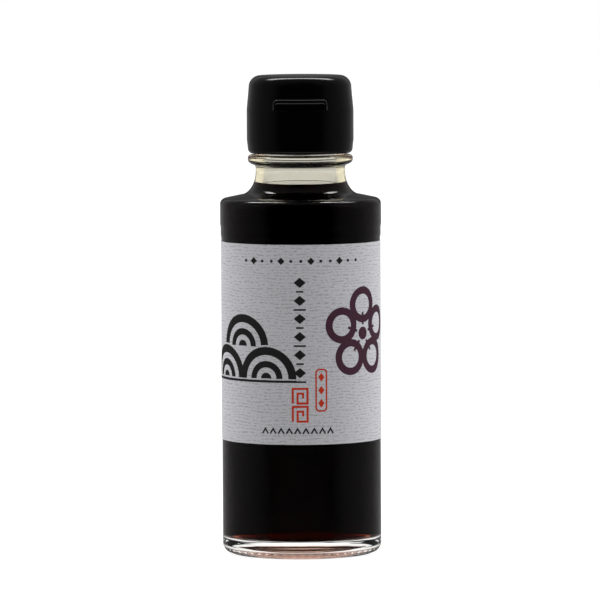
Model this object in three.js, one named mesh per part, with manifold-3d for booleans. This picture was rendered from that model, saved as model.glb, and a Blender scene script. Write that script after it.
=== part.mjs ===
// Soy sauce table bottle of 150 ml, standing upright: clear round glass filled with dark sauce,
// a paper label round the body, and a shut flip-top cap.
// Millimetres, +Z up. The origin is the middle of the ring that the bottle stands on.
// The front, with the cap's thumb recess, faces -Y.

import * as THREE from 'three';
import { mergeVertices } from 'three/addons/utils/BufferGeometryUtils.js';
import Module from 'manifold-3d';

// Segments round the axis. The glass has two outside for each knurl on its heel.
const KNURL_COUNT = 56;
const GLASS_SEGMENTS = 2 * KNURL_COUNT;
const INNER_SEGMENTS = KNURL_COUNT;
const CAP_SEGMENTS = 70;

// Glass, outside
const PANEL_RADIUS = 23.95;
const SHOULDER_BAND_RADIUS = 24.3;
const PANEL_TOP = 95.3;
const PANEL_STEP_HEIGHT = 0.8;
const HEEL_HEIGHT = 3.1;
const BEARING_OUTER_RADIUS = 20.6;
const BEARING_INNER_RADIUS = 15.8;
const PUNT_HEIGHT = 3.0;
const PUNT_POWER = 3;
const KNURL_TOP = 1.7;
const KNURL_DEPTH = 0.32;
const SHOULDER_EDGE_RADIUS = 1.95;
const SHOULDER_EDGE_Z = 107.45;
const SHOULDER_INNER_Z = 108.35;
const NECK_RADIUS = 13.5;
const NECK_FILLET_WIDTH = 4.9;
const NECK_FILLET_HEIGHT = 7.1;
const BEAD_RADIUS = 15.87;
const BEAD_Z = 118.8;
const BEAD_HALF_HEIGHT = 1.5;
const FINISH_TOP = 131.0;
const LIP_RADIUS = 0.9;

// Glass, inside
const INNER_RADIUS = 21.5;
const BORE_RADIUS = 11.1;
const FLOOR_Z = 4.9;
const FLOOR_CORNER_RADIUS = 3.4;
const INNER_SHOULDER_Z = 105.9;
const INNER_SHOULDER_CORNER = 2.2;
const INNER_FILLET_WIDTH = 7.2;
const INNER_FILLET_HEIGHT = 9.5;

// Sauce
const FILL_Z = 111.6;
const SAUCE_GAP = 0.1;

// Label
const LABEL_BOTTOM = 34.7;
const LABEL_HEIGHT = 59.8;
const LABEL_GAP = 0.03;
const LABEL_THICKNESS = 0.1;
const LABEL_SEAM_WIDTH = 8.0;
const LABEL_SEGMENTS = 80;

// Cap
const CAP_RADIUS = 16.12;
const CAP_BOTTOM = 120.65;
const CAP_BORE_RADIUS = 13.8;
const SKIRT_FILLET_WIDTH = 1.2;
const SKIRT_FILLET_HEIGHT = 1.5;
const SKIRT_DRAFT = 0.3;
const SKIRT_DRAFT_TOP = 125.0;
const DECK_UNDERSIDE = 131.3;
const SEAM_Z = 134.1;
const SEAM_GAP = 0.25;
const LID_TOP = 144.3;
const LID_DRAFT = 0.65;
const LID_FILLET_WIDTH = 3.4;
const LID_FILLET_HEIGHT = 3.55;

// Thumb recess at the front of the lid, under its small lip
const THUMB_WIDTH = 16.1;
const THUMB_TOP = 137.3;
const THUMB_CORNER_RADIUS = 1.1;
const LIP_UNDERSIDE = 136.3;
const LIP_FRONT_RADIUS = 16.25;
const RECESS_BACK_RADIUS = 15.05;

// Hinge at the back of the cap
const HINGE_FLAT_Y = 15.3;
const HINGE_FLAT_HALF_HEIGHT = 3.1;
const HINGE_WIDTH = 8.2;
const HINGE_HEIGHT = 5.4;
const HINGE_THICKNESS = 0.55;
const HINGE_CLEARANCE = 0.12;
const HINGE_CREASE_DEPTH = 0.3;

const materials = {
  glass: new THREE.MeshStandardMaterial({
    color: 0xe9ece4, roughness: 0.04, metalness: 0, transparent: true, opacity: 0.35,
  }),
  sauce: new THREE.MeshStandardMaterial({ color: 0x170604, roughness: 0.12, metalness: 0 }),
  paper: new THREE.MeshStandardMaterial({ color: 0xc9c9ce, roughness: 0.85, metalness: 0 }),
  cap: new THREE.MeshStandardMaterial({ color: 0x0b0b0b, roughness: 0.28, metalness: 0 }),
};

const wasm = await Module();
wasm.setup();

// A quarter or other stretch of an ellipse in the (radius, height) plane, angles in degrees.
function ellipseArc(centreR, centreZ, radiusR, radiusZ, from, to, steps) {
  const points = [];
  for (let i = 0; i <= steps; i += 1) {
    const angle = THREE.MathUtils.degToRad(from + ((to - from) * i) / steps);
    points.push(new THREE.Vector2(
      centreR + radiusR * Math.cos(angle),
      centreZ + radiusZ * Math.sin(angle),
    ));
  }
  return points;
}

function point(r, z) {
  return new THREE.Vector2(r, z);
}

// Drops points that repeat the one before them.
function withoutRepeats(points) {
  const smallest = 1e-4;
  return points.filter((p, i) => i === 0 || p.distanceTo(points[i - 1]) > smallest);
}

// A solid of revolution about Z from an outline that starts and ends on the axis.
// The outline runs upwards on the outside of the solid.
function revolve(outline, segments) {
  const geometry = new THREE.LatheGeometry(withoutRepeats(outline), segments);
  geometry.rotateX(Math.PI / 2);
  return geometry;
}

function toManifold(geometry) {
  const bare = geometry.clone();
  bare.deleteAttribute('normal');
  bare.deleteAttribute('uv');
  const merged = mergeVertices(bare, 1e-4);
  const corners = merged.index.array;
  const kept = [];
  for (let i = 0; i < corners.length; i += 3) {
    const [a, b, c] = corners.subarray(i, i + 3);
    if (a !== b && b !== c && a !== c) kept.push(a, b, c);
  }
  return new wasm.Manifold(new wasm.Mesh({
    numProp: 3,
    vertProperties: new Float32Array(merged.attributes.position.array),
    triVerts: new Uint32Array(kept),
  }));
}

function toGeometry(solid) {
  const mesh = solid.getMesh();
  const geometry = new THREE.BufferGeometry();
  geometry.setAttribute('position', new THREE.BufferAttribute(mesh.vertProperties, 3));
  geometry.setIndex(new THREE.BufferAttribute(mesh.triVerts, 1));
  geometry.computeVertexNormals();
  return geometry;
}

function cylinder(radius, bottom, top) {
  const geometry = new THREE.CylinderGeometry(radius, radius, top - bottom, CAP_SEGMENTS);
  geometry.rotateX(Math.PI / 2);
  geometry.translate(0, 0, (bottom + top) / 2);
  return toManifold(geometry);
}

function box(width, depth, height, centre) {
  const geometry = new THREE.BoxGeometry(width, depth, height);
  geometry.translate(...centre);
  return toManifold(geometry);
}

// Outside of the glass, from the middle of the push-up under the base up to the mouth.
function glassOuterOutline() {
  const puntSteps = 5;
  const punt = [];
  for (let i = 0; i <= puntSteps; i += 1) {
    const r = (BEARING_INNER_RADIUS * i) / puntSteps;
    const fall = (r / BEARING_INNER_RADIUS) ** PUNT_POWER;
    punt.push(point(r, PUNT_HEIGHT * (1 - fall)));
  }
  const heelWidth = PANEL_RADIUS - BEARING_OUTER_RADIUS;
  const shoulderEdgeR = SHOULDER_BAND_RADIUS - SHOULDER_EDGE_RADIUS;
  const filletTop = SHOULDER_INNER_Z + NECK_FILLET_HEIGHT;
  const filletOuterR = NECK_RADIUS + NECK_FILLET_WIDTH;
  const beadReach = BEAD_RADIUS - NECK_RADIUS;
  return [
    ...punt,
    ...ellipseArc(BEARING_OUTER_RADIUS, HEEL_HEIGHT, heelWidth, HEEL_HEIGHT, -90, 0, 5),
    point(PANEL_RADIUS, PANEL_TOP),
    point(SHOULDER_BAND_RADIUS, PANEL_TOP + PANEL_STEP_HEIGHT),
    ...ellipseArc(
      shoulderEdgeR, SHOULDER_EDGE_Z - SHOULDER_EDGE_RADIUS,
      SHOULDER_EDGE_RADIUS, SHOULDER_EDGE_RADIUS, 0, 90, 3,
    ),
    ...ellipseArc(
      filletOuterR, filletTop, NECK_FILLET_WIDTH, NECK_FILLET_HEIGHT, 270, 180, 5,
    ),
    ...ellipseArc(NECK_RADIUS, BEAD_Z, beadReach, BEAD_HALF_HEIGHT, -90, 90, 6),
    ...ellipseArc(
      NECK_RADIUS - LIP_RADIUS, FINISH_TOP - LIP_RADIUS, LIP_RADIUS, LIP_RADIUS, 0, 90, 2,
    ),
    point(0, FINISH_TOP),
  ];
}

// Inside of the glass, from the middle of its floor up to where the neck becomes straight.
// An inset draws it in, for what fills it.
function glassInnerOutline(inset) {
  const side = INNER_RADIUS - inset;
  const bore = BORE_RADIUS - inset;
  const floor = FLOOR_Z + inset;
  const shoulder = INNER_SHOULDER_Z - inset;
  const corner = INNER_SHOULDER_CORNER;
  return [
    point(0, floor),
    ...ellipseArc(
      side - FLOOR_CORNER_RADIUS, floor + FLOOR_CORNER_RADIUS,
      FLOOR_CORNER_RADIUS, FLOOR_CORNER_RADIUS, -90, 0, 4,
    ),
    ...ellipseArc(side - corner, shoulder - corner, corner, corner, 0, 90, 3),
    ...ellipseArc(
      bore + INNER_FILLET_WIDTH, shoulder + INNER_FILLET_HEIGHT,
      INNER_FILLET_WIDTH, INNER_FILLET_HEIGHT, 270, 180, 5,
    ),
  ];
}

// Short upright lobes round the lower heel, with a groove between each two.
function cutKnurls(geometry) {
  const position = geometry.attributes.position;
  const margin = 0.01;
  for (let i = 0; i < position.count; i += 1) {
    const x = position.getX(i);
    const y = position.getY(i);
    const z = position.getZ(i);
    const r = Math.hypot(x, y);
    if (r > BEARING_OUTER_RADIUS + margin && z > margin && z < KNURL_TOP) {
      const turn = Math.atan2(y, x) / (2 * Math.PI);
      const step = Math.round(turn * GLASS_SEGMENTS);
      const scale = Math.abs(step % 2) === 1 ? (r - KNURL_DEPTH) / r : 1;
      position.setXY(i, x * scale, y * scale);
    }
  }
}

function glassBottle() {
  const outside = revolve(glassOuterOutline(), GLASS_SEGMENTS);
  cutKnurls(outside);
  const mouthRadius = BORE_RADIUS + LIP_RADIUS / 2;
  const aboveMouth = FINISH_TOP + 1;
  const hollow = revolve([
    ...glassInnerOutline(0),
    point(BORE_RADIUS, FINISH_TOP - LIP_RADIUS),
    point(mouthRadius, FINISH_TOP),
    point(mouthRadius, aboveMouth),
    point(0, aboveMouth),
  ], INNER_SEGMENTS);
  return toGeometry(toManifold(outside).subtract(toManifold(hollow)));
}

// The sauce fills the glass up to its level in the lower neck.
function soySauce() {
  const side = glassInnerOutline(SAUCE_GAP);
  const below = side.filter((p) => p.y < FILL_Z);
  const last = below[below.length - 1];
  const next = side[below.length];
  const share = (FILL_Z - last.y) / (next.y - last.y);
  const surfaceR = last.x + (next.x - last.x) * share;
  return revolve([...below, point(surfaceR, FILL_Z), point(0, FILL_Z)], INNER_SEGMENTS);
}

// A paper strip round the panel whose ends stop short of each other at the back.
function label() {
  const inner = PANEL_RADIUS + LABEL_GAP;
  const outer = inner + LABEL_THICKNESS;
  const halfGap = LABEL_SEAM_WIDTH / 2 / outer;
  const back = Math.PI / 2;
  const shape = new THREE.Shape();
  shape.absarc(0, 0, outer, back + halfGap, back - halfGap + 2 * Math.PI, false);
  shape.absarc(0, 0, inner, back - halfGap + 2 * Math.PI, back + halfGap, true);
  const geometry = new THREE.ExtrudeGeometry(shape, {
    depth: LABEL_HEIGHT, bevelEnabled: false, curveSegments: LABEL_SEGMENTS / 2,
  });
  geometry.translate(0, 0, LABEL_BOTTOM);
  return geometry;
}

// The flat cut across the seam at the back of the cap, for the hinge.
function hingeFlat() {
  const depth = CAP_RADIUS;
  return box(
    2 * CAP_RADIUS, depth, 2 * HINGE_FLAT_HALF_HEIGHT, [0, HINGE_FLAT_Y + depth / 2, SEAM_Z],
  );
}

// The cap's lower part: a cup over the glass finish, with a soft lower edge.
function capCollar() {
  const lowerR = CAP_RADIUS - SKIRT_DRAFT;
  const top = SEAM_Z - SEAM_GAP;
  const cup = revolve([
    point(0, DECK_UNDERSIDE),
    point(CAP_BORE_RADIUS, DECK_UNDERSIDE),
    point(CAP_BORE_RADIUS, CAP_BOTTOM),
    ...ellipseArc(
      lowerR - SKIRT_FILLET_WIDTH, CAP_BOTTOM + SKIRT_FILLET_HEIGHT,
      SKIRT_FILLET_WIDTH, SKIRT_FILLET_HEIGHT, -90, 0, 4,
    ),
    point(CAP_RADIUS, SKIRT_DRAFT_TOP),
    point(CAP_RADIUS, top),
    point(0, top),
  ], CAP_SEGMENTS);
  return toGeometry(toManifold(cup).subtract(hingeFlat()));
}

// Front view of the thumb recess and its lip: a rectangle with round upper corners.
function thumbPrism() {
  const half = THUMB_WIDTH / 2;
  const corner = THUMB_CORNER_RADIUS;
  const bottom = SEAM_Z - 1;
  const shape = new THREE.Shape();
  shape.moveTo(-half, bottom);
  shape.lineTo(half, bottom);
  shape.absarc(half - corner, THUMB_TOP - corner, corner, 0, Math.PI / 2, false);
  shape.absarc(-half + corner, THUMB_TOP - corner, corner, Math.PI / 2, Math.PI, false);
  const geometry = new THREE.ExtrudeGeometry(shape, {
    depth: 2 * CAP_RADIUS, bevelEnabled: false, curveSegments: 4,
  });
  geometry.rotateX(Math.PI / 2);
  return toManifold(geometry);
}

// The cap's lid. The recess under its front lip lets a thumb push it open.
function capLid() {
  const shoulderR = CAP_RADIUS - LID_DRAFT;
  const filletZ = LID_TOP - LID_FILLET_HEIGHT;
  const plug = toManifold(revolve([
    point(0, SEAM_Z),
    point(CAP_RADIUS, SEAM_Z),
    point(shoulderR, filletZ),
    ...ellipseArc(
      shoulderR - LID_FILLET_WIDTH, filletZ, LID_FILLET_WIDTH, LID_FILLET_HEIGHT, 0, 90, 5,
    ),
    point(0, LID_TOP),
  ], CAP_SEGMENTS));
  const below = SEAM_Z - 2;
  const reach = 2 * CAP_RADIUS;
  const recess = thumbPrism()
    .intersect(cylinder(reach, below, LIP_UNDERSIDE))
    .subtract(cylinder(RECESS_BACK_RADIUS, below - 1, LIP_UNDERSIDE + 1));
  const lip = thumbPrism().intersect(cylinder(LIP_FRONT_RADIUS, LIP_UNDERSIDE, LID_TOP));
  return toGeometry(plug.subtract(hingeFlat()).add(lip).subtract(recess));
}

// The thin strap that joins lid and collar at the back, creased at the seam.
function capHinge() {
  const half = HINGE_HEIGHT / 2;
  const creaseHalf = HINGE_CREASE_DEPTH;
  const shape = new THREE.Shape();
  shape.moveTo(0, -half);
  shape.lineTo(HINGE_THICKNESS, -half);
  shape.lineTo(HINGE_THICKNESS, -creaseHalf);
  shape.lineTo(HINGE_THICKNESS - HINGE_CREASE_DEPTH, 0);
  shape.lineTo(HINGE_THICKNESS, creaseHalf);
  shape.lineTo(HINGE_THICKNESS, half);
  shape.lineTo(0, half);
  shape.closePath();
  const geometry = new THREE.ExtrudeGeometry(shape, { depth: HINGE_WIDTH, bevelEnabled: false });
  geometry.rotateX(Math.PI / 2);
  geometry.rotateZ(Math.PI / 2);
  geometry.translate(-HINGE_WIDTH / 2, HINGE_FLAT_Y + HINGE_CLEARANCE, SEAM_Z);
  return geometry;
}

function named(name, geometry, material) {
  const mesh = new THREE.Mesh(geometry, material);
  mesh.name = name;
  return mesh;
}

const bottle = new THREE.Group();
bottle.name = 'soy_sauce_bottle';
bottle.add(named('glass_bottle', glassBottle(), materials.glass));
bottle.add(named('soy_sauce', soySauce(), materials.sauce));
bottle.add(named('label', label(), materials.paper));

const cap = new THREE.Group();
cap.name = 'flip_top_cap';
cap.add(named('cap_collar', capCollar(), materials.cap));
cap.add(named('cap_lid', capLid(), materials.cap));
cap.add(named('cap_hinge', capHinge(), materials.cap));
bottle.add(cap);

export default bottle;
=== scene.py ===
"""The looks of a soy sauce bottle: clear glass, dark sauce, a printed paper label and a black
flip-top cap.

Lengths are in millimetres. An outline is a list of (radius, height) from the bottle's axis and
base. The front faces -Y.
"""

import math

import bpy
from mathutils import Matrix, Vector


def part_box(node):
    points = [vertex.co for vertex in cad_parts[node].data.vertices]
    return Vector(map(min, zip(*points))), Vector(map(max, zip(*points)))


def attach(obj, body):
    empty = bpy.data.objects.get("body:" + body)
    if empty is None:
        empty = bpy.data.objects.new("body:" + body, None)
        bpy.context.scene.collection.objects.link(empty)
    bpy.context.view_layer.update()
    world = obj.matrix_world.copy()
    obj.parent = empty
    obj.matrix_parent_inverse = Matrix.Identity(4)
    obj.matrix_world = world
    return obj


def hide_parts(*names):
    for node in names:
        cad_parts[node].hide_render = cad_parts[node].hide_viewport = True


MM = 0.001
FRONT = -math.pi / 2
FULL_TURN = 2 * math.pi

# Camera
IMAGE_PX = 600
SENSOR_WIDTH = 36.0
FOCAL_PX = 6048
CAMERA_X = -0.3
CAMERA_DISTANCE = 1822
CAMERA_HEIGHT = 202.85
CAMERA_PITCH_DEG = 3.97
CAMERA_ROLL_DEG = 0.283

# Glass, outside
PADS = 56
GLASS_SEGMENTS = 8 * PADS
PANEL_RADIUS = 23.95
PANEL_TOP = 95.3
RIB_RADIUS = 24.13
RIB_TOP = 98.6
BAND_RADIUS = 24.3
STEP_HEIGHT = 1.1
HEEL_HEIGHT = 3.1
BEARING_OUTER = 20.6
PUNT_RADIUS = 15.3
PUNT_HEIGHT = 3.0
PUNT_POWER = 3.0
SHOULDER_EDGE_RADIUS = 1.95
SHOULDER_EDGE_Z = 107.45
SHOULDER_INNER_Z = 108.35
NECK_RADIUS = 13.5
NECK_FILLET_WIDTH = 4.9
NECK_FILLET_HEIGHT = 7.1
BEAD_RADIUS = 15.87
BEAD_Z = 119.08
BEAD_HALF_ABOVE = 1.45
BEAD_UPPER_POWER = 3.2
BEAD_HALF_BELOW = 1.7
BEAD_ROOT_BELOW = 0.75
BEAD_ROOT_ABOVE = 0.15
FINISH_TOP = 131.0
MOUTH_EDGE = 0.9

# Oval pads round the lower heel. A pair is where an edge starts and where it is complete.
PAD_Z = 1.05
PAD_HALF_WIDTH = 0.95
PAD_HALF_HEIGHT = 0.62
PAD_DEPTH = 0.16
PAD_EDGE = (0.8, 1.2)
PAD_BAND_FOOT = (0.03, 0.3)
PAD_BAND_TOP = (1.7, 2.05)

# Glass, inside
INNER_RADIUS = 21.5
BORE_RADIUS = 11.1
FLOOR_Z = 4.9
FLOOR_CORNER = 3.0
FLOOR_RISE = 1.6
INNER_SHOULDER_Z = 105.9
INNER_SHOULDER_CORNER = 2.2
INNER_FILLET_WIDTH = 7.2
INNER_FILLET_HEIGHT = 9.5

# Glass and sauce as light meets them. The wetted wall stands for the step from glass to sauce,
# with about the ratio of their indices, and the sauce's own side bends nothing.
GLASS_IOR = 1.5
WETTED_IOR = 1.063
SAUCE_IOR = 1.38
NO_STEP_IOR = 1.0
NO_TINT = (1.0, 1.0, 1.0)
GLASS_TINT = (0.975, 0.98, 0.97)
FILM_TINT = (0.74, 0.77, 0.90)
NECK_TINT = (0.80, 0.74, 0.53)
SURFACE_TINT = (0.55, 0.3, 0.2)
SAUCE_COLOR = (0.62, 0.28, 0.10)
SAUCE_DENSITY = 560
MOULD_WAVES = 0.12
NECK_WAVES = 0.04

# Sauce. It reaches a little into the wall, so that no gap shows, and further under the middle.
WALL_OVERLAP = 0.05
FLOOR_OVERLAP = 0.36
FLOOR_OVERLAP_RADIUS = 12.0
FILL_Z = 111.52
CONTACT_Z = 111.66
MENISCUS_REACH = 0.25
MENISCUS_STEPS = [0.15, 0.3, 0.5, 0.75, 1.1, 1.5, 2.2]

# Label
PAPER_INNER = 23.98
PAPER_OUTER = 24.08
PAPER_EDGE = 0.03
SEAM_WIDTH = 8.0
PRINT_HEIGHT = 0.035
PRINT_DEPTH = 0.02

# Cap
CAP_RADIUS = 16.12
CAP_BOTTOM = 120.88
CAP_BORE = 13.8
SKIRT_FILLET = (1.2, 1.5)
SKIRT_DRAFT = 0.3
SKIRT_DRAFT_TOP = 125.0
DECK_THICKNESS = 2.6
SEAM_Z = 134.1
SEAM_GAP = 0.15
SEAM_EDGE = 0.04
LID_TOP = 144.3
LID_DRAFT = 0.65
LID_FILLET = (3.4, 3.55)
THUMB_HALF_WIDTH = 8.05
THUMB_TOP = 137.3
THUMB_CORNER = 1.1
THUMB_MARGIN = 0.6
FINE_HALF_ANGLE = math.radians(36)
LIP_UNDERSIDE = 136.05
LIP_FRONT = 16.25
RECESS_BACK = 15.05
RECESS_EDGE = 0.12
RECESS_CORNER = THUMB_CORNER * 0.6
LIP_EDGE = 0.1
LIP_SIDE = 0.75
LIP_BEVEL = 0.4
LIP_BEVEL_SLOPE = 0.68
# Painted highlight: a greyer colour along the rim of the thumb lip, which draws the light line round it.
LIP_HIGHLIGHT_FOOT = 0.2
LIP_HIGHLIGHT_WIDTH = 0.14
LIP_HIGHLIGHT_COLOR = (0.085, 0.083, 0.08)
HINGE_FLAT_Y = 15.3
HINGE_FLAT_HALF = 3.1
HINGE_WIDTH = 8.2
HINGE_HEIGHT = 5.4
HINGE_THICKNESS = 0.55
HINGE_RIM = 0.35
HINGE_RIM_FALL = HINGE_THICKNESS * 0.35
HINGE_CREASE = (0.05, 0.5)
HINGE_CREASE_DEPTH = HINGE_THICKNESS * 0.5
FLAT_EDGE = 0.02

# Paper
LAID_PITCH = 0.92
PAPER_COLOR = (0.74, 0.74, 0.775)

# Studio. A direction's Y goes from -1 in front of the bottle to 1 behind it, and its Z from -1
# below to 1 above. The lists hold stops of (Y, brightness).
SOFT_LEVELS = (0.17, 1.39)
LIGHT_LEAN = 0.09
STRIP_FRONT_Y = (0.25, 0.30)
STRIP_BACK_Y = (0.42, 0.47)
STRIP_END_X = (0.46, 0.60)
STRIP_LEVEL = 9.0
TABLE_Z = (-0.62, -0.85)
TABLE_LEVEL = 0.8
DARK_BACK_Z = (-0.03, 0.05)
DARK_BACK_Y = (0.88, 0.97)
DARK_BACK_SHADE = 0.7
WALL_LEVELS = [
    (-1.0, 0.0), (-0.70, 0.0), (-0.58, 0.037), (-0.45, 0.066), (0.0, 0.097), (0.6, 0.16), (1.0, 0.30),
]
INSIDE_LEVELS = [
    (-1.0, 0.0), (-0.66, 0.0), (-0.60, 0.09), (0.0, 0.10), (0.24, 0.22), (0.48, 0.75), (0.68, 1.0),
    (0.9, 1.1), (1.0, 1.5),
]
SOFTBOX_HEIGHT = 1270
SOFTBOX_SIZE = 800
SOFTBOX_RADIANCE = 1.0
TABLE_HALF_SIZE = 4000
TABLE_DROP = 0.02
TABLE_COLOR = (0.25, 0.25, 0.25)
TABLE_GLOW = 0.92


def spaced(start, end, steps):
    """Even steps from start to end, both included."""
    return [start + (end - start) * i / steps for i in range(steps + 1)]


def smooth(low, high, value):
    """Eases from 0 at low to 1 at high."""
    t = min(1.0, max(0.0, (value - low) / (high - low)))
    return t * t * (3 - 2 * t)


def arc(centre_r, centre_z, radius_r, radius_z, start, end, steps):
    """Points on an ellipse's arc, with the angles in degrees."""
    points = []
    for degrees in spaced(start, end, steps):
        a = math.radians(degrees)
        points.append((centre_r + radius_r * math.cos(a), centre_z + radius_z * math.sin(a)))
    return points


def without_repeats(points):
    """The points, without any that lie on the one before."""
    kept = [points[0]]
    for p in points[1:]:
        if math.dist(p, kept[-1]) > 1e-4:
            kept.append(p)
    return kept


def new_object(name, points, faces, materials, face_materials=None, uvs=None):
    """A smooth mesh from points in millimetres. uvs has one pair for each point."""
    mesh = bpy.data.meshes.new(name)
    mesh.from_pydata([(x * MM, y * MM, z * MM) for x, y, z in points], [], faces)
    for material in materials:
        mesh.materials.append(material)
    mesh.polygons.foreach_set("use_smooth", [True] * len(faces))
    if face_materials:
        mesh.polygons.foreach_set("material_index", face_materials)
    if uvs:
        layer = mesh.uv_layers.new(name="millimetres")
        for loop in mesh.loops:
            layer.data[loop.index].uv = uvs[loop.vertex_index]
    mesh.update()
    obj = bpy.data.objects.new(name, mesh)
    bpy.context.scene.collection.objects.link(obj)
    return obj


def even_turns(segments):
    """Angles all the way round, from the front."""
    return [FRONT + FULL_TURN * i / segments for i in range(segments)]


def revolve(name, outline, turns, materials, material_of=None, warp=None):
    """A solid of revolution from an outline that runs upwards on its outside and starts and ends
    on the axis, or closes on itself. warp moves a point in its own upright plane, and material_of
    gives the material's number for each step of the outline."""
    rows = []
    points = []
    for r, z in outline:
        if r < 1e-6:
            rows.append([len(points)] * len(turns))
            points.append((0.0, 0.0, z))
            continue
        rows.append(list(range(len(points), len(points) + len(turns))))
        for turn in turns:
            pr, pz = warp(turn, r, z) if warp else (r, z)
            points.append((pr * math.cos(turn), pr * math.sin(turn), pz))
    faces = []
    indices = []
    count = len(turns)
    closes = rows[0][0] != rows[0][-1]
    pairs = list(zip(rows, rows[1:])) + ([(rows[-1], rows[0])] if closes else [])
    for k, (low, high) in enumerate(pairs):
        for j in range(count):
            n = (j + 1) % count
            face = [low[j], low[n], high[n], high[j]]
            if low[j] == low[n]:
                face = [low[j], high[n], high[j]]
            elif high[j] == high[n]:
                face = [low[j], low[n], high[j]]
            faces.append(face)
            indices.append(material_of(k) if material_of else 0)
    return new_object(name, points, faces, materials, indices)


# Materials


def principled(name):
    """A new material, with its nodes, its links and its main shader."""
    material = bpy.data.materials.new(name)
    material.use_nodes = True
    tree = material.node_tree
    return material, tree.nodes, tree.links, tree.nodes["Principled BSDF"]


def connect(links, source, socket):
    """Links a node's output to the socket, or sets the socket to a plain number."""
    if isinstance(source, (int, float)):
        socket.default_value = source
    else:
        links.new(source, socket)


def calc(nodes, links, operation, a, b=0.0):
    """A sum on two values, each an output or a plain number."""
    node = nodes.new("ShaderNodeMath")
    node.operation = operation
    connect(links, a, node.inputs[0])
    connect(links, b, node.inputs[1])
    return node.outputs["Value"]


def graded(nodes, links, value, low, high, to_low, to_high, smoothly=True):
    """Goes from to_low to to_high as the value goes from low to high, and is level outside them."""
    if low > high:
        low, high, to_low, to_high = high, low, to_high, to_low
    node = nodes.new("ShaderNodeMapRange")
    node.interpolation_type = "SMOOTHSTEP" if smoothly else "LINEAR"
    node.inputs["From Min"].default_value = low
    node.inputs["From Max"].default_value = high
    node.inputs["To Min"].default_value = to_low
    node.inputs["To Max"].default_value = to_high
    links.new(value, node.inputs["Value"])
    return node.outputs["Result"]


def add_bump(nodes, links, shader, height, strength, distance_mm):
    """Roughens the shader's surface by a height from 0 to 1, which stands for the distance."""
    bump = nodes.new("ShaderNodeBump")
    bump.inputs["Strength"].default_value = strength
    bump.inputs["Distance"].default_value = distance_mm * MM
    links.new(height, bump.inputs["Height"])
    links.new(bump.outputs["Normal"], shader.inputs["Normal"])


def object_noise(nodes, links, scale_per_mm, detail):
    """Noise that is fixed to the piece."""
    where = nodes.new("ShaderNodeTexCoord")
    noise = nodes.new("ShaderNodeTexNoise")
    noise.inputs["Scale"].default_value = scale_per_mm / MM
    noise.inputs["Detail"].default_value = detail
    links.new(where.outputs["Object"], noise.inputs["Vector"])
    return noise.outputs["Fac"]


def glass_material(name, tint, ior, waviness=0.0):
    """Moulded glass. Its surface is very slightly wavy where waviness, in millimetres, says so."""
    material, nodes, links, shader = principled(name)
    shader.inputs["Base Color"].default_value = (*tint, 1)
    shader.inputs["Roughness"].default_value = 0.0
    shader.inputs["IOR"].default_value = ior
    shader.inputs["Transmission Weight"].default_value = 1.0
    if waviness:
        waves = object_noise(nodes, links, 0.09, detail=1.0)
        add_bump(nodes, links, shader, waves, 1.0, waviness)
    return material


def sauce_material(name, tint, ior):
    """Dark sauce: what light gets through loses its blue and green first."""
    material, nodes, links, shader = principled(name)
    shader.inputs["Base Color"].default_value = (*tint, 1)
    shader.inputs["Roughness"].default_value = 0.0
    shader.inputs["IOR"].default_value = ior
    shader.inputs["Transmission Weight"].default_value = 1.0
    volume = nodes.new("ShaderNodeVolumeAbsorption")
    volume.inputs["Color"].default_value = (*SAUCE_COLOR, 1)
    volume.inputs["Density"].default_value = SAUCE_DENSITY
    links.new(volume.outputs["Volume"], nodes["Material Output"].inputs["Volume"])
    return material


def paper_material():
    """Laid paper: pale grey with fine broken lines across, and a fine grain."""
    material, nodes, links, shader = principled("laid_paper")
    uv = nodes.new("ShaderNodeUVMap")
    uv.uv_map = "millimetres"

    def stretched_noise(along, across, detail):
        """Noise with so many features to the millimetre along the label and up it."""
        mapping = nodes.new("ShaderNodeMapping")
        mapping.inputs["Scale"].default_value = (along, across, 1)
        noise = nodes.new("ShaderNodeTexNoise")
        noise.inputs["Scale"].default_value = 1.0
        noise.inputs["Detail"].default_value = detail
        links.new(uv.outputs["UV"], mapping.inputs["Vector"])
        links.new(mapping.outputs["Vector"], noise.inputs["Vector"])
        return noise.outputs["Fac"]

    split = nodes.new("ShaderNodeSeparateXYZ")
    links.new(uv.outputs["UV"], split.inputs["Vector"])
    drift = graded(nodes, links, stretched_noise(0.12, 0.3, 1.0), 0.2, 0.8, -0.5, 0.5)
    rows = calc(nodes, links, "ADD", calc(nodes, links, "DIVIDE", split.outputs["Y"], LAID_PITCH), drift)
    from_middle = calc(nodes, links, "SUBTRACT", calc(nodes, links, "FRACT", rows), 0.5)
    beside = calc(nodes, links, "ABSOLUTE", from_middle)
    line = graded(nodes, links, beside, 0.10, 0.30, 1.0, 0.0)
    broken = graded(nodes, links, stretched_noise(0.85, 1.3, 2.0), 0.40, 0.62, 0.0, 1.0)
    dashes = calc(nodes, links, "MULTIPLY", line, broken)
    grain = graded(nodes, links, stretched_noise(2.2, 3.4, 3.0), 0.30, 0.70, 0.80, 1.06)
    clouds = graded(nodes, links, stretched_noise(0.07, 0.07, 1.0), 0.3, 0.7, 0.97, 1.0)
    tone = calc(nodes, links, "MULTIPLY", calc(nodes, links, "MULTIPLY", grain, clouds),
                graded(nodes, links, dashes, 0.0, 1.0, 1.0, 0.70, smoothly=False))
    mix = nodes.new("ShaderNodeMix")
    mix.data_type = "RGBA"
    mix.inputs["A"].default_value = (0.0, 0.0, 0.0, 1)
    mix.inputs["B"].default_value = (*PAPER_COLOR, 1)
    links.new(tone, mix.inputs["Factor"])
    links.new(mix.outputs["Result"], shader.inputs["Base Color"])
    shader.inputs["Roughness"].default_value = 0.85
    shader.inputs["Specular IOR Level"].default_value = 0.2
    add_bump(nodes, links, shader, tone, 0.4, 0.03)
    return material


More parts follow.
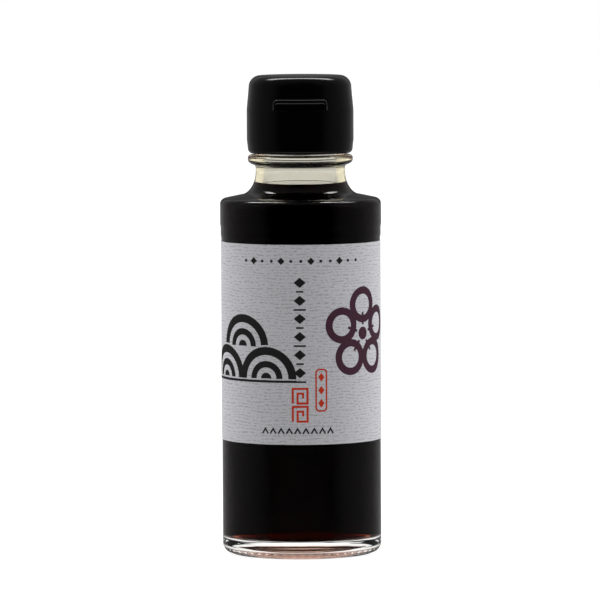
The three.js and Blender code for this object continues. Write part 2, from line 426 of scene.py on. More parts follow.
def ink_material(name, color):
    """Printing ink, a little uneven where the paper takes it up."""
    material, nodes, links, shader = principled(name)
    uneven = object_noise(nodes, links, 1.4, detail=3.0)
    ramp = nodes.new("ShaderNodeValToRGB")
    ramp.color_ramp.elements[0].position = 0.35
    ramp.color_ramp.elements[0].color = (*[c * 0.86 for c in color], 1)
    ramp.color_ramp.elements[1].position = 0.65
    ramp.color_ramp.elements[1].color = (*color, 1)
    links.new(uneven, ramp.inputs["Fac"])
    links.new(ramp.outputs["Color"], shader.inputs["Base Color"])
    shader.inputs["Roughness"].default_value = 0.6
    shader.inputs["Specular IOR Level"].default_value = 0.25
    return material


def cap_material():
    """Glossy black moulded plastic with faint flow marks, and a painted highlight: a greyer colour along
    the rim of the thumb lip, where the lid's attribute marks it.
    """
    material, nodes, links, shader = principled("black_plastic")
    tone = object_noise(nodes, links, 0.5, detail=3.0)
    ramp = nodes.new("ShaderNodeValToRGB")
    ramp.color_ramp.elements[0].color = (0.0012, 0.0012, 0.0012, 1)
    ramp.color_ramp.elements[1].color = (0.0024, 0.0023, 0.0022, 1)
    links.new(tone, ramp.inputs["Fac"])
    # Painted highlight: the lid's attribute mixes in a greyer colour along the lip's rim.
    lip_highlight = nodes.new("ShaderNodeAttribute")
    lip_highlight.attribute_name = "lip_highlight"
    with_lip_highlight = nodes.new("ShaderNodeMix")
    with_lip_highlight.data_type = "RGBA"
    links.new(lip_highlight.outputs["Fac"], with_lip_highlight.inputs["Factor"])
    links.new(ramp.outputs["Color"], with_lip_highlight.inputs["A"])
    with_lip_highlight.inputs["B"].default_value = (*LIP_HIGHLIGHT_COLOR, 1)
    links.new(with_lip_highlight.outputs["Result"], shader.inputs["Base Color"])
    rough = nodes.new("ShaderNodeMapRange")
    rough.inputs["To Min"].default_value = 0.10
    rough.inputs["To Max"].default_value = 0.16
    links.new(tone, rough.inputs["Value"])
    links.new(rough.outputs["Result"], shader.inputs["Roughness"])
    shader.inputs["IOR"].default_value = 1.46
    flow = object_noise(nodes, links, 0.12, detail=1.0)
    add_bump(nodes, links, shader, flow, 0.5, 0.02)
    return material


# Glass


def glass_outer_outline():
    """The outside, from the middle of the push-up to the edge of the mouth."""
    power = 2 / PUNT_POWER
    punt = [(PUNT_RADIUS * math.sin(a) ** power, PUNT_HEIGHT * math.cos(a) ** power)
            for a in spaced(0, math.radians(88), 18)]
    reach = BEAD_RADIUS - NECK_RADIUS
    root_below = BEAD_Z - BEAD_HALF_BELOW - BEAD_ROOT_BELOW
    root_above = BEAD_Z + BEAD_HALF_ABOVE + BEAD_ROOT_ABOVE
    bead_top = [(NECK_RADIUS + reach * abs(r) ** (2 / BEAD_UPPER_POWER),
                 BEAD_Z + BEAD_HALF_ABOVE * abs(z) ** (2 / BEAD_UPPER_POWER))
                for r, z in arc(0, 0, 1, 1, 4, 84, 14)]
    steps = [(PANEL_RADIUS + (RIB_RADIUS - PANEL_RADIUS) * smooth(0, 1, t), PANEL_TOP + STEP_HEIGHT * t)
             for t in spaced(0, 1, 4)]
    steps += [(RIB_RADIUS + (BAND_RADIUS - RIB_RADIUS) * smooth(0, 1, t), RIB_TOP + STEP_HEIGHT * t)
              for t in spaced(0, 1, 4)]
    shoulder_r = BAND_RADIUS - SHOULDER_EDGE_RADIUS
    fillet_r = NECK_RADIUS + NECK_FILLET_WIDTH
    fillet_z = SHOULDER_INNER_Z + NECK_FILLET_HEIGHT
    return [
        *punt,
        (PUNT_RADIUS + 0.2, 0.0),
        ((PUNT_RADIUS + BEARING_OUTER) / 2, 0.0),
        *arc(BEARING_OUTER, HEEL_HEIGHT, PANEL_RADIUS - BEARING_OUTER, HEEL_HEIGHT, -90, 0, 30),
        *[(PANEL_RADIUS, z) for z in spaced(HEEL_HEIGHT + 1, PANEL_TOP - 1, 6)],
        *steps,
        *arc(shoulder_r, SHOULDER_EDGE_Z - SHOULDER_EDGE_RADIUS, SHOULDER_EDGE_RADIUS,
             SHOULDER_EDGE_RADIUS, 0, 80, 12),
        *arc(fillet_r, fillet_z, NECK_FILLET_WIDTH, NECK_FILLET_HEIGHT, 268, 180, 18),
        *arc(NECK_RADIUS + BEAD_ROOT_BELOW, root_below, BEAD_ROOT_BELOW, BEAD_ROOT_BELOW, 180, 100, 5),
        *arc(NECK_RADIUS, BEAD_Z, reach, BEAD_HALF_BELOW, -72, 0, 11),
        *bead_top,
        *arc(NECK_RADIUS + BEAD_ROOT_ABOVE, root_above, BEAD_ROOT_ABOVE, BEAD_ROOT_ABOVE, 260, 180, 3),
        *arc(NECK_RADIUS - MOUTH_EDGE, FINISH_TOP - MOUTH_EDGE, MOUTH_EDGE, MOUTH_EDGE, 0, 90, 5),
    ]


def floor_outline(reach, floor, dip):
    """The domed floor, from beside its corner to its middle, where it is lower by dip."""
    points = []
    for share in spaced(0.96, 0, 12):
        r = reach * share
        dipped = 1 - smooth(FLOOR_OVERLAP_RADIUS - 1, FLOOR_OVERLAP_RADIUS + 1, r)
        points.append((r, floor + FLOOR_RISE * (1 - share ** 2) ** 2 - dip * dipped))
    return points


def inner_outline(outset, dip=0.0):
    """The glass's inside, moved outwards by outset, downwards from the straight bore to the middle
    of the floor."""
    side = INNER_RADIUS + outset
    bore = BORE_RADIUS + outset
    floor = FLOOR_Z - outset
    shoulder = INNER_SHOULDER_Z + outset
    corner = INNER_SHOULDER_CORNER
    return [
        *arc(bore + INNER_FILLET_WIDTH, shoulder + INNER_FILLET_HEIGHT,
             INNER_FILLET_WIDTH, INNER_FILLET_HEIGHT, 180, 270, 24),
        *arc(side - corner, shoulder - corner, corner, corner, 90, 0, 10),
        *arc(side - FLOOR_CORNER, floor + FLOOR_CORNER, FLOOR_CORNER, FLOOR_CORNER, 0, -90, 16),
        *floor_outline(side - FLOOR_CORNER, floor, dip),
    ]


def cut_at(outline, z):
    """The outline, downwards, with a point added where it passes height z."""
    for i, (upper, lower) in enumerate(zip(outline, outline[1:])):
        if upper[1] > z > lower[1]:
            share = (upper[1] - z) / (upper[1] - lower[1])
            added = (upper[0] + (lower[0] - upper[0]) * share, z)
            return outline[:i + 1] + [added] + outline[i + 1:]
    return outline


def heel_pads(turn, r, z):
    """Moves the lower heel in, round oval pads that keep the outer surface."""
    if r <= BEARING_OUTER + 0.01 or z > PAD_BAND_TOP[1]:
        return r, z
    window = smooth(*PAD_BAND_FOOT, z) * (1 - smooth(*PAD_BAND_TOP, z))
    share = (turn / FULL_TURN * PADS) % 1 - 0.5
    along = share * FULL_TURN / PADS * r
    reach = math.hypot(along / PAD_HALF_WIDTH, (z - PAD_Z) / PAD_HALF_HEIGHT)
    sink = PAD_DEPTH * window * smooth(*PAD_EDGE, reach)
    width = PANEL_RADIUS - BEARING_OUTER
    normal_r = (r - BEARING_OUTER) / width ** 2
    normal_z = (z - HEEL_HEIGHT) / HEEL_HEIGHT ** 2
    size = math.hypot(normal_r, normal_z)
    return r - sink * normal_r / size, z - sink * normal_z / size


def make_glass():
    """The bottle. Up to the sauce's edge its inner wall is wetted, and there glass meets sauce."""
    outer = without_repeats(glass_outer_outline())
    bore_top = (BORE_RADIUS, FINISH_TOP - MOUTH_EDGE)
    inner = without_repeats(cut_at([bore_top, *inner_outline(0)], CONTACT_Z))
    edge = MOUTH_EDGE / 2
    mouth = arc(BORE_RADIUS + edge, FINISH_TOP - edge, edge, edge, 90, 170, 3)
    outline = outer + mouth + inner
    heights = [(a[1] + b[1]) / 2 for a, b in zip(outline, outline[1:])]
    first_inner = len(outer) + len(mouth)
    dry, wetted, filmed, push_up, neck = range(5)

    def material_of(k):
        if outline[k][0] < PUNT_RADIUS + 0.1 and heights[k] < PUNT_HEIGHT:
            return push_up
        if k < first_inner:
            return neck if CONTACT_Z < heights[k] < CAP_BOTTOM else dry
        return wetted if heights[k] < CONTACT_Z else filmed

    materials = [
        glass_material("clear_glass", GLASS_TINT, GLASS_IOR, MOULD_WAVES),
        glass_material("glass_against_sauce", NO_TINT, WETTED_IOR),
        glass_material("glass_with_a_film_of_sauce", FILM_TINT, GLASS_IOR, NECK_WAVES),
        glass_material("push_up_glass", GLASS_TINT, GLASS_IOR),
        glass_material("neck_glass", NECK_TINT, GLASS_IOR, NECK_WAVES),
    ]
    turns = even_turns(GLASS_SEGMENTS)
    glass = revolve("clear_glass_bottle", outline, turns, materials, material_of, heel_pads)
    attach(glass, "root")
    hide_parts("glass_bottle")


def make_sauce():
    """The sauce, with its edge drawn up a little where it wets the neck."""
    side = cut_at(inner_outline(WALL_OVERLAP, FLOOR_OVERLAP), CONTACT_Z)
    below = [p for p in side if p[1] <= CONTACT_Z]
    edge_r = below[0][0]
    rise = CONTACT_Z - FILL_Z
    surface = [(edge_r - d, FILL_Z + rise * math.exp(-d / MENISCUS_REACH)) for d in MENISCUS_STEPS]
    outline = below[::-1] + surface + [(edge_r / 2, FILL_Z), (0.0, FILL_Z)]
    materials = [
        sauce_material("sauce_in_glass", NO_TINT, NO_STEP_IOR),
        sauce_material("sauce_surface", SURFACE_TINT, SAUCE_IOR),
    ]
    first_free = len(below) - 1
    sauce = revolve("sauce_fill", outline, even_turns(6 * PADS), materials,
                    lambda k: 1 if k >= first_free else 0)
    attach(sauce, "root")
    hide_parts("soy_sauce")


# Label and its print


def on_label(u, z, lift):
    """The point u millimetres right of the front, on the paper's outside or lift above it."""
    angle = FRONT + u / PAPER_OUTER
    return ((PAPER_OUTER + lift) * math.cos(angle), (PAPER_OUTER + lift) * math.sin(angle), z)


def make_label():
    """The paper, round the whole body but for a gap at the back, with softened long edges."""
    low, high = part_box("label")
    bottom, top = low.z / MM, high.z / MM
    section = [
        (PAPER_INNER, bottom), (PAPER_OUTER - PAPER_EDGE, bottom), (PAPER_OUTER, bottom + PAPER_EDGE),
        (PAPER_OUTER, bottom + 3 * PAPER_EDGE),
        *[(PAPER_OUTER, z) for z in spaced(bottom + 2, top - 2, 10)],
        (PAPER_OUTER, top - 3 * PAPER_EDGE), (PAPER_OUTER, top - PAPER_EDGE),
        (PAPER_OUTER - PAPER_EDGE, top), (PAPER_INNER, top),
        *[(PAPER_INNER, z) for z in spaced(top - 2, bottom + 2, 4)],
    ]
    half = math.pi - SEAM_WIDTH / 2 / PAPER_OUTER
    turns = spaced(FRONT - half, FRONT + half, 300)
    points = []
    uvs = []
    faces = []
    for turn in turns:
        for r, z in section:
            points.append((r * math.cos(turn), r * math.sin(turn), z))
            uvs.append(((turn - FRONT) * PAPER_OUTER, z))
    count = len(section)
    for i in range(len(turns) - 1):
        for k in range(count):
            n = (k + 1) % count
            a, b = i * count, (i + 1) * count
            faces.append((a + k, b + k, b + n, a + n))
    faces.append(tuple(range(count)))
    faces.append(tuple(range(len(points) - 1, len(points) - count - 1, -1)))
    label = new_object("paper_label", points, faces, [paper_material()], None, uvs)
    label.data.set_sharp_from_angle(angle=math.radians(50))
    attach(label, "root")
    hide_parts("label")


class Print:
    """Collects flat patches of one ink, each a grid of (u, z) points, and lays them on the label."""

    def __init__(self, name, material):
        self.name = name
        self.material = material
        self.points = []
        self.faces = []

    def patch(self, grid, closed=False):
        """A grid of rows, each from one side of the patch to the other. A closed patch is a ring."""
        rows, columns = len(grid), len(grid[0])
        start = len(self.points)
        for lift in (PRINT_HEIGHT, -PRINT_DEPTH):
            for row in grid:
                self.points += [on_label(u, z, lift) for u, z in row]
        below = rows * columns

        def at(i, j, under=0):
            return start + under + (i % rows) * columns + j

        last = columns - 1
        for i in range(rows if closed else rows - 1):
            for j in range(columns - 1):
                quad = (at(i, j), at(i + 1, j), at(i + 1, j + 1), at(i, j + 1))
                self.faces.append(quad)
                self.faces.append(tuple(v + below for v in reversed(quad)))
            for near, far, j in ((i, i + 1, 0), (i + 1, i, last)):
                self.faces.append((at(near, j), at(near, j, below), at(far, j, below), at(far, j)))
        if closed:
            return
        for j in range(columns - 1):
            for i, near, far in ((0, j + 1, j), (rows - 1, j, j + 1)):
                self.faces.append((at(i, near), at(i, near, below), at(i, far, below), at(i, far)))

    def bar(self, u, z, width, height):
        """A rectangle about (u, z)."""
        steps = max(1, math.ceil(width / 1.5))
        self.patch([
            [(u + du, z - height / 2), (u + du, z + height / 2)]
            for du in spaced(-width / 2, width / 2, steps)
        ])

    def diamond(self, u, z, width, height):
        """A lozenge about (u, z), with its two side points cut very slightly blunt."""
        blunt = 0.01
        self.patch([
            [(u + t * width / 2, z - (1 - abs(t)) * height / 2 - blunt),
             (u + t * width / 2, z + (1 - abs(t)) * height / 2 + blunt)]
            for t in (-1, -0.5, 0, 0.5, 1)
        ])

    def ring(self, u, z, inner, outer, steps=48):
        """A ring about (u, z), or a disc where inner is near nothing."""
        grid = []
        for i in range(steps):
            a = FULL_TURN * i / steps
            x, y = math.cos(a), math.sin(a)
            grid.append([(u + x * radius, z + y * radius) for radius in spaced(outer, inner, 3)])
        self.patch(grid[::-1], closed=True)

    def stroke(self, path, width):
        """A line of even width along a path, with mitred corners."""
        grid = []
        for i, (u, z) in enumerate(path):
            before = path[max(0, i - 1)]
            after = path[min(len(path) - 1, i + 1)]
            in_dir = unit(u - before[0], z - before[1]) if i else unit(after[0] - u, after[1] - z)
            out_dir = unit(after[0] - u, after[1] - z) if i < len(path) - 1 else in_dir
            side = unit(-(in_dir[1] + out_dir[1]), in_dir[0] + out_dir[0])
            cos_half = side[0] * -in_dir[1] + side[1] * in_dir[0]
            reach = width / 2 / max(0.3, cos_half)
            du, dz = side[0] * reach, side[1] * reach
            grid.append([(u - du, z - dz), (u + du, z + dz)])
        self.patch(grid)

    def finish(self):
        """Makes the piece."""
        piece = new_object(self.name, self.points, self.faces, [self.material])
        piece.data.set_sharp_from_angle(angle=math.radians(40))
        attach(piece, "root")


def unit(x, y):
    """The direction (x, y) with length 1."""
    size = math.hypot(x, y) or 1.0
    return x / size, y / size


def finely(path, step=1.2):
    """The path with points added, so that it follows the label's curve."""
    fine = [path[0]]
    for a, b in zip(path, path[1:]):
        count = max(1, math.ceil(math.dist(a, b) / step))
        fine += [(a[0] + (b[0] - a[0]) * t, a[1] + (b[1] - a[1]) * t) for t in spaced(0, 1, count)[1:]]
    return fine


def wave_fan(ink, u, z, rings, covers):
    """Nested upper half rings about (u, z), cut off where they pass behind covers, which are discs
    as (u, z, radius). A ring is left out where a whole circle of it is hidden."""
    def on_circle(radius, a):
        return u + radius * math.cos(a), z + radius * math.sin(a)

    def in_the_open(point):
        return all(math.dist(point, cover[:2]) > cover[2] for cover in covers)

    angles = [math.radians(a) for a in spaced(-1, 181, 364)]
    for inner, outer in rings:
        spans = []
        radii = spaced(inner, outer, 4)
        for radius in radii:
            seen = [a for a in angles if in_the_open(on_circle(radius, a))]
            if seen:
                spans.append((radius, min(seen), max(seen)))
        if len(spans) < len(radii):
            continue
        grid = [[on_circle(radius, low + (high - low) * t) for radius, low, high in spans]
                for t in spaced(1, 0, 40)]
        ink.patch([row[::-1] for row in grid])


def print_waves(ink):
    """A bold cluster of three wave fans."""
    rings = [(0.05, 1.7), (3.3, 5.2), (7.0, 9.4)]
    cover = 9.9
    low_left, low_right = (-28.4, 54.5), (-10.9, 54.5)
    wave_fan(ink, -19.6, 64.0, rings, [(*low_left, cover), (*low_right, cover)])
    wave_fan(ink, *low_left, rings, [])
    wave_fan(ink, *low_right, rings, [])
    ink.stroke(finely([(-38.0, 53.6), (-1.4, 53.6)]), 0.7)


def print_blossom(ink):
    """A blossom of five open petals, with a bar to each and a dot between each two."""
    middle = (21.0, 67.5)

    def away(distance, a):
        return middle[0] + distance * math.cos(a), middle[1] + distance * math.sin(a)

    for i in range(5):
        a = math.radians(90 + 72 * i)
        ink.ring(*away(8.6, a), 3.2, 5.4)
        ink.stroke(finely([away(2.6, a), away(6.3, a)]), 0.8)
        ink.ring(*away(5.6, a + math.radians(36)), 0.05, 0.75, steps=16)
    ink.ring(*middle, 0.05, 1.9, steps=32)


def print_column(ink):
    """A column of lozenges and short bars at the front, a row of dots and small lozenges over it,
    and a row of small peaks under it."""
    column_u, row_z, peak_z = -0.4, 89.6, 38.0
    for i in range(6):
        z = 83.2 - 5.4 * i
        ink.diamond(column_u, z, 3.6, 3.0)
        ink.bar(column_u, z - 2.7, 3.6 if i % 2 else 2.2, 0.5)
    for i in range(13):
        u = -18 + 3.0 * i
        if i % 3 == 1:
            ink.diamond(u, row_z, 2.2, 2.2)
        else:
            ink.ring(u, row_z, 0.05, 0.45, steps=12)
    for i in range(9):
        u = -11.2 + 2.5 * i
        ink.stroke(finely([(u - 0.9, peak_z), (u, peak_z + 1.5), (u + 0.9, peak_z)], 0.6), 0.45)


def print_red(ink):
    """Two small red frets, one above the other, and a narrow red frame with three lozenges."""
    for z in (49.3, 43.9):
        square_fret(ink, -0.4, z, 4.4)
    half_width, half_height, corner = 1.6, 6.2, 1.0
    u, z = 6.0, 51.0
    outline = []
    for cu, cz, start in ((1, 1, 0), (-1, 1, 90), (-1, -1, 180), (1, -1, 270)):
        centre = (u + cu * (half_width - corner), z + cz * (half_height - corner))
        outline += arc(*centre, corner, corner, start, start + 90, 5)
    outline.append(outline[0])
    ink.stroke(outline, 0.45)
    for dz in (-3.9, 0.0, 3.9):
        ink.diamond(u, z + dz, 1.9, 2.6)


def square_fret(ink, u, z, size):
    """A square spiral line about (u, z)."""
    h = size / 2
    path = [(-1, -1), (-1, 1), (1, 1), (1, -1), (-0.35, -1), (-0.35, 0.35), (0.4, 0.35), (0.4, -0.3)]
    ink.stroke(finely([(u + h * a, z + h * b) for a, b in path]), 0.62)


def print_back(ink):
    """Two frames of plain ruled rows towards the back."""
    line, full, short = 0.35, 20.0, 13.0
    for middle in (-54.0, 54.0):
        for i in range(12):
            width = full if i % 4 else short
            ink.bar(middle - (full - width) / 2, 84.0 - 3.6 * i, width, line)
        for edge in (-11.5, 11.5):
            ink.bar(middle + edge, 64.0, line, 46.0)
        for z in (41.0, 87.0):
            ink.bar(middle, z, 23.0 + line, line)


def make_print():
    """The label's print, one piece for each ink."""
    black = Print("print_black", ink_material("black_ink", (0.021, 0.020, 0.021)))
    print_waves(black)
    print_column(black)
    print_back(black)
    plum = Print("print_plum", ink_material("plum_ink", (0.085, 0.024, 0.048)))
    print_blossom(plum)
    red = Print("print_red", ink_material("red_ink", (0.72, 0.045, 0.014)))
    print_red(red)
    for ink in (black, plum, red):
        ink.finish()


# Cap


def cap_turns():
    """Fine steps at the front, where the thumb recess is, and wider ones elsewhere."""
    first, last = FRONT - FINE_HALF_ANGLE, FRONT + FINE_HALF_ANGLE
    return spaced(first, last, 240) + spaced(last, first + FULL_TURN, 160)[1:-1]


def beyond(x, z, half_width, top, corner):
    """How far a point is outside a shape with straight sides, rounded top corners and no foot."""
    dx = abs(x) - (half_width - corner)
    dz = z - (top - corner)
    return math.hypot(max(dx, 0), max(dz, 0)) - corner + min(max(dx, dz), 0)


def thumb_shape(turn, r, z):
    """Moves the lid's wall out into the lip, and in below it. The lip's underside leans in."""
    if z < SEAM_Z - 0.01 or z > THUMB_TOP + THUMB_MARGIN or math.sin(turn) > 0:
        return r, z
    x = CAP_RADIUS * math.cos(turn)
    outside = beyond(x, z, THUMB_HALF_WIDTH, THUMB_TOP, THUMB_CORNER)
    lip = 1 - smooth(-LIP_EDGE, LIP_EDGE, outside)
    within = beyond(x, z, THUMB_HALF_WIDTH - LIP_SIDE, LIP_UNDERSIDE, RECESS_CORNER)
    recess = 1 - smooth(-RECESS_EDGE, RECESS_EDGE, within)
    bevel = LIP_BEVEL_SLOPE * max(0.0, LIP_BEVEL - max(0.0, within))
    proud = r + (LIP_FRONT - bevel - r) * lip
    return proud + (RECESS_BACK - proud) * recess, z


def paint_lip_highlight(lid):
    """Marks the rim of the lip for cap_material, which paints a highlight there in a greyer colour."""
    lip_highlight = lid.data.attributes.new("lip_highlight", "FLOAT", "POINT")
    for vertex, value in zip(lid.data.vertices, lip_highlight.data):
        x, y, z = (part / MM for part in vertex.co)
        if y < 0 and SEAM_Z + LIP_HIGHLIGHT_FOOT < z < THUMB_TOP + THUMB_MARGIN:
            on_wall_x = CAP_RADIUS * x / math.hypot(x, y)
            outside = beyond(on_wall_x, z, THUMB_HALF_WIDTH, THUMB_TOP, THUMB_CORNER)
            value.value = math.exp(-(outside / LIP_HIGHLIGHT_WIDTH) ** 2)


def flat_back(turn, r, z):
    """Cuts the wall back to a flat for the hinge at the back."""
    if abs(z - SEAM_Z) < HINGE_FLAT_HALF and r * math.sin(turn) > HINGE_FLAT_Y:
        r = HINGE_FLAT_Y / math.sin(turn)
    return r, z


def lid_shape(turn, r, z):
    """The lid's front and back together."""
    return flat_back(turn, *thumb_shape(turn, r, z))


def lid_outline():
    """The lid, with close rows where the lip's edges are."""
    shoulder_r = CAP_RADIUS - LID_DRAFT
    fillet_z = LID_TOP - LID_FILLET[1]
    flat_top = SEAM_Z + HINGE_FLAT_HALF
    heights = [
        *spaced(SEAM_Z + SEAM_EDGE, LIP_UNDERSIDE - 0.25, 12),
        *spaced(LIP_UNDERSIDE - 0.2, LIP_UNDERSIDE + 0.5, 20),
        *spaced(LIP_UNDERSIDE + 0.55, THUMB_TOP - 0.2, 4),
        *spaced(THUMB_TOP - 0.15, THUMB_TOP + 0.15, 16),
        *spaced(THUMB_TOP + 0.2, THUMB_TOP + THUMB_MARGIN, 3),
        *spaced(THUMB_TOP + 0.8, fillet_z, 8),
        flat_top - FLAT_EDGE,
        flat_top + FLAT_EDGE,
    ]
    return [
        (0.0, SEAM_Z),
        (CAP_RADIUS - 2.2, SEAM_Z),
        (CAP_RADIUS - 1.3, SEAM_Z),
        *arc(CAP_RADIUS - SEAM_EDGE, SEAM_Z + SEAM_EDGE, SEAM_EDGE, SEAM_EDGE, -90, -20, 3),
        *[(CAP_RADIUS - LID_DRAFT * (z - SEAM_Z) / (fillet_z - SEAM_Z), z) for z in sorted(heights)],
        *arc(shoulder_r - LID_FILLET[0], fillet_z, LID_FILLET[0], LID_FILLET[1], 4, 90, 22),
        ((shoulder_r - LID_FILLET[0]) / 2, LID_TOP),
        (0.0, LID_TOP),
    ]


def collar_outline():
    """The collar, a cup over the neck with a wall that narrows a little towards its foot."""
    lower_r = CAP_RADIUS - SKIRT_DRAFT
    fillet_z = CAP_BOTTOM + SKIRT_FILLET[1]
    top = SEAM_Z - SEAM_GAP
    flat_bottom = SEAM_Z - HINGE_FLAT_HALF
    return [
        (0.0, top - DECK_THICKNESS),
        (CAP_BORE, top - DECK_THICKNESS),
        (CAP_BORE, CAP_BOTTOM + 0.3),
        (CAP_BORE + 0.2, CAP_BOTTOM),
        *arc(lower_r - SKIRT_FILLET[0], fillet_z, SKIRT_FILLET[0], SKIRT_FILLET[1], -84, 0, 14),
        *[(lower_r + SKIRT_DRAFT * t, fillet_z + (SKIRT_DRAFT_TOP - fillet_z) * t)
          for t in spaced(0.2, 1, 4)],
        *[(CAP_RADIUS, z) for z in spaced(SKIRT_DRAFT_TOP + 1, flat_bottom - FLAT_EDGE, 5)],
        *[(CAP_RADIUS, z) for z in spaced(flat_bottom + FLAT_EDGE, top - SEAM_EDGE, 4)],
        *arc(CAP_RADIUS - SEAM_EDGE, top - SEAM_EDGE, SEAM_EDGE, SEAM_EDGE, 20, 90, 3),
        (CAP_RADIUS - 1.5, top),
        (0.0, top),
    ]


def make_cap():
    """The shut cap: lid, collar and hinge strap."""
    plastic = cap_material()
    turns = cap_turns()
    lid = revolve("flip_lid", lid_outline(), turns, [plastic], warp=lid_shape)
    # Paints a highlight line round the lip's rim.
    paint_lip_highlight(lid)
    collar = revolve("cap_skirt", collar_outline(), turns, [plastic], warp=flat_back)
    strap = make_strap(plastic)
    for piece, node in ((lid, "cap_lid"), (collar, "cap_collar"), (strap, "cap_hinge")):
        piece.data.set_sharp_from_angle(angle=math.radians(40))
        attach(piece, "root")
        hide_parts(node)


def make_strap(plastic):
    """The thin strap over the seam at the back, creased in its middle, with rounded edges."""
    low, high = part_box("cap_hinge")
    y0, y1 = low.y / MM, high.y / MM
    half = HINGE_WIDTH / 2
    heights = spaced(-HINGE_HEIGHT / 2, HINGE_HEIGHT / 2, 36)
    widths = spaced(-half, half, 32)
    points = []
    faces = []
    for z in heights:
        for x in widths:
            rim = min(half - abs(x), HINGE_HEIGHT / 2 - abs(z))
            fall = HINGE_RIM_FALL * (1 - smooth(0, HINGE_RIM, rim))
            crease = HINGE_CREASE_DEPTH * (1 - smooth(*HINGE_CREASE, abs(z)))
            points.append((x, y1 - fall - crease, SEAM_Z + z))
    count = len(widths)
    outer = len(points)
    points += [(x, y0, z) for x, y, z in points]
    for i in range(len(heights) - 1):
        for j in range(count - 1):
            a = i * count + j
            quad = (a, a + count, a + count + 1, a + 1)
            faces.append(quad)
            faces.append(tuple(v + outer for v in reversed(quad)))
    border = list(range(count))
    border += [i * count + count - 1 for i in range(1, len(heights))]
    border += [(len(heights) - 1) * count + j for j in range(count - 2, -1, -1)]
    border += [i * count for i in range(len(heights) - 2, 0, -1)]
    for a, b in zip(border, border[1:] + border[:1]):
        faces.append((a, b, b + outer, a + outer))
    return new_object("hinge_strap", points, faces, [plastic])


# Stage


def make_floor():
    """A white table top that glows, so that it stays pale all round. Neither gloss nor rough
    surfaces see it, because the studio's levels stand for it there."""
    size = TABLE_HALF_SIZE * MM
    mesh = bpy.data.meshes.new("floor")
    corners = [(-size, -size, 0), (size, -size, 0), (size, size, 0), (-size, size, 0)]
    mesh.from_pydata(corners, [], [(0, 1, 2, 3)])
    floor = bpy.data.objects.new("floor", mesh)
    floor.location.z = -TABLE_DROP * MM
    bpy.context.scene.collection.objects.link(floor)
    material, nodes, links, shader = principled("white_table")
    shader.inputs["Base Color"].default_value = (*TABLE_COLOR, 1)
    shader.inputs["Roughness"].default_value = 1.0
    shader.inputs["Specular IOR Level"].default_value = 0.0
    shader.inputs["Emission Color"].default_value = (1, 1, 1, 1)
    shader.inputs["Emission Strength"].default_value = TABLE_GLOW
    mesh.materials.append(material)
    floor.visible_glossy = False
    floor.visible_diffuse = False


def level_ramp(nodes, links, value, levels):
    """A brightness from stops of (value, brightness), for values from -1 to 1."""
    spread = graded(nodes, links, value, -1.0, 1.0, 0.0, 1.0, smoothly=False)
    ramp = nodes.new("ShaderNodeValToRGB")
    elements = ramp.color_ramp.elements
    elements[0].position = 0.0
    elements[1].position = 1.0
    for element, (_, level) in zip(elements, (levels[0], levels[-1])):
        element.color = (level, level, level, 1)
    for stop, level in levels[1:-1]:
        elements.new((stop + 1) / 2).color = (level, level, level, 1)
    links.new(spread, ramp.inputs["Fac"])
    return ramp.outputs["Color"]


def chosen(nodes, links, share, otherwise, value):
    """The value where share is 1, and the other where it is 0."""
    mix = nodes.new("ShaderNodeMix")
    links.new(share, mix.inputs["Factor"])
    for socket, source in ((mix.inputs["A"], otherwise), (mix.inputs["B"], value)):
        connect(links, source, socket)
    return mix.outputs["Result"]


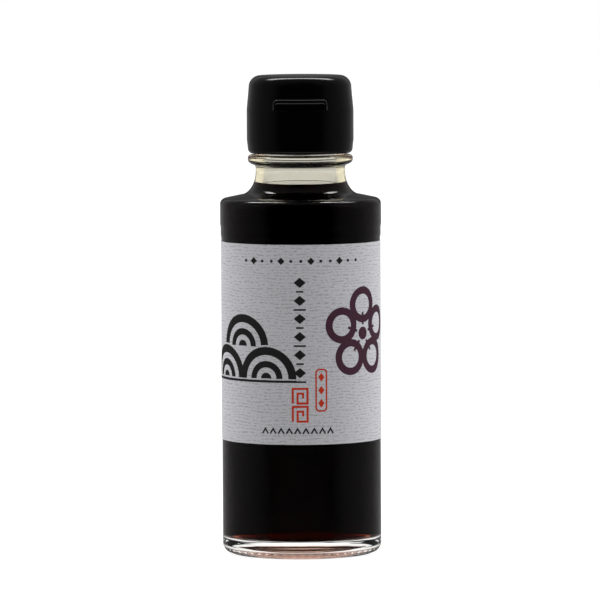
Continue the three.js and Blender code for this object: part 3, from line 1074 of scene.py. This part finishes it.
def make_world():
    """The studio round the bottle, as a brightness for each direction. The camera sees plain
    white. Rough surfaces are lit most from behind and from the sides. Gloss shows dim walls that
    darken behind the bottle above the table, a pale table and a strip light overhead. Glass shows
    white where light goes straight through it, and dark walls where light is also reflected
    inside it."""
    world = bpy.data.worlds.new("studio")
    bpy.context.scene.world = world
    world.use_nodes = True
    nodes, links = world.node_tree.nodes, world.node_tree.links
    nodes.clear()
    where = nodes.new("ShaderNodeTexCoord")
    split = nodes.new("ShaderNodeSeparateXYZ")
    links.new(where.outputs["Generated"], split.inputs["Vector"])
    x, y, z = (split.outputs[axis] for axis in "XYZ")
    path = nodes.new("ShaderNodeLightPath").outputs

    def product(*factors):
        result = factors[0]
        for factor in factors[1:]:
            result = calc(nodes, links, "MULTIPLY", result, factor)
        return result

    leaning = calc(nodes, links, "ADD", y, product(x, LIGHT_LEAN))
    soft = graded(nodes, links, leaning, -1.0, 0.35, *SOFT_LEVELS, smoothly=False)

    strip = product(
        graded(nodes, links, y, *STRIP_FRONT_Y, 0.0, 1.0),
        graded(nodes, links, y, *STRIP_BACK_Y, 1.0, 0.0),
        graded(nodes, links, calc(nodes, links, "ABSOLUTE", x), *STRIP_END_X, 1.0, 0.0),
        graded(nodes, links, z, 0.0, 0.1, 0.0, STRIP_LEVEL),
    )
    table = graded(nodes, links, z, *TABLE_Z, 0.0, TABLE_LEVEL)
    dark_back = product(graded(nodes, links, z, *DARK_BACK_Z, 0.0, 1.0),
                        graded(nodes, links, y, *DARK_BACK_Y, 0.0, DARK_BACK_SHADE))
    walls = product(level_ramp(nodes, links, y, WALL_LEVELS),
                    calc(nodes, links, "SUBTRACT", 1.0, dark_back))
    gloss = calc(nodes, links, "ADD", calc(nodes, links, "ADD", walls, table), strip)

    inside = level_ramp(nodes, links, y, INSIDE_LEVELS)
    bounced = calc(nodes, links, "GREATER_THAN", path["Glossy Depth"], 0.5)
    through = chosen(nodes, links, bounced, 1.0, inside)

    level = chosen(nodes, links, path["Is Glossy Ray"], soft, gloss)
    level = chosen(nodes, links, path["Is Transmission Ray"], level, through)
    level = chosen(nodes, links, path["Is Camera Ray"], level, 1.0)
    background = nodes.new("ShaderNodeBackground")
    background.inputs["Color"].default_value = (1, 1, 1, 1)
    links.new(level, background.inputs["Strength"])
    output = nodes.new("ShaderNodeOutputWorld")
    links.new(background.outputs["Background"], output.inputs["Surface"])


def make_softbox():
    """A softbox overhead that only rough surfaces see, with its power from how bright it looks."""
    data = bpy.data.lights.new("overhead_softbox", "AREA")
    data.shape = "SQUARE"
    data.size = SOFTBOX_SIZE * MM
    data.energy = SOFTBOX_RADIANCE * math.pi * data.size ** 2
    light = bpy.data.objects.new("overhead_softbox", data)
    light.location.z = SOFTBOX_HEIGHT * MM
    light.visible_camera = False
    light.visible_glossy = False
    light.visible_transmission = False
    bpy.context.scene.collection.objects.link(light)


def make_camera():
    """The photograph's camera, worked out from its perspective."""
    data = bpy.data.cameras.new("photo_camera")
    data.sensor_width = SENSOR_WIDTH
    data.lens = FOCAL_PX / IMAGE_PX * data.sensor_width
    data.clip_end = 20
    camera = bpy.data.objects.new("photo_camera", data)
    place = Matrix.Translation((CAMERA_X * MM, -CAMERA_DISTANCE * MM, CAMERA_HEIGHT * MM))
    pitch = Matrix.Rotation(math.radians(90 - CAMERA_PITCH_DEG), 4, "X")
    roll = Matrix.Rotation(math.radians(-CAMERA_ROLL_DEG), 4, "Z")
    camera.matrix_world = place @ pitch @ roll
    bpy.context.scene.collection.objects.link(camera)
    bpy.context.scene.camera = camera


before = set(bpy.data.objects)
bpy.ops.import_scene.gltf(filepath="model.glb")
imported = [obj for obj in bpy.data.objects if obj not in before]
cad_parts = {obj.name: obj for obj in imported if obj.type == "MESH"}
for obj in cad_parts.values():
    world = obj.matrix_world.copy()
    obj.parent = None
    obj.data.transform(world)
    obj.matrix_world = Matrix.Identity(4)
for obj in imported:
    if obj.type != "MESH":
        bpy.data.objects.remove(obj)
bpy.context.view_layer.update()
make_camera()
make_world()
make_softbox()
make_floor()
make_glass()
make_sauce()
make_label()
make_print()
make_cap()
bpy.context.scene.view_settings.view_transform = "Standard"
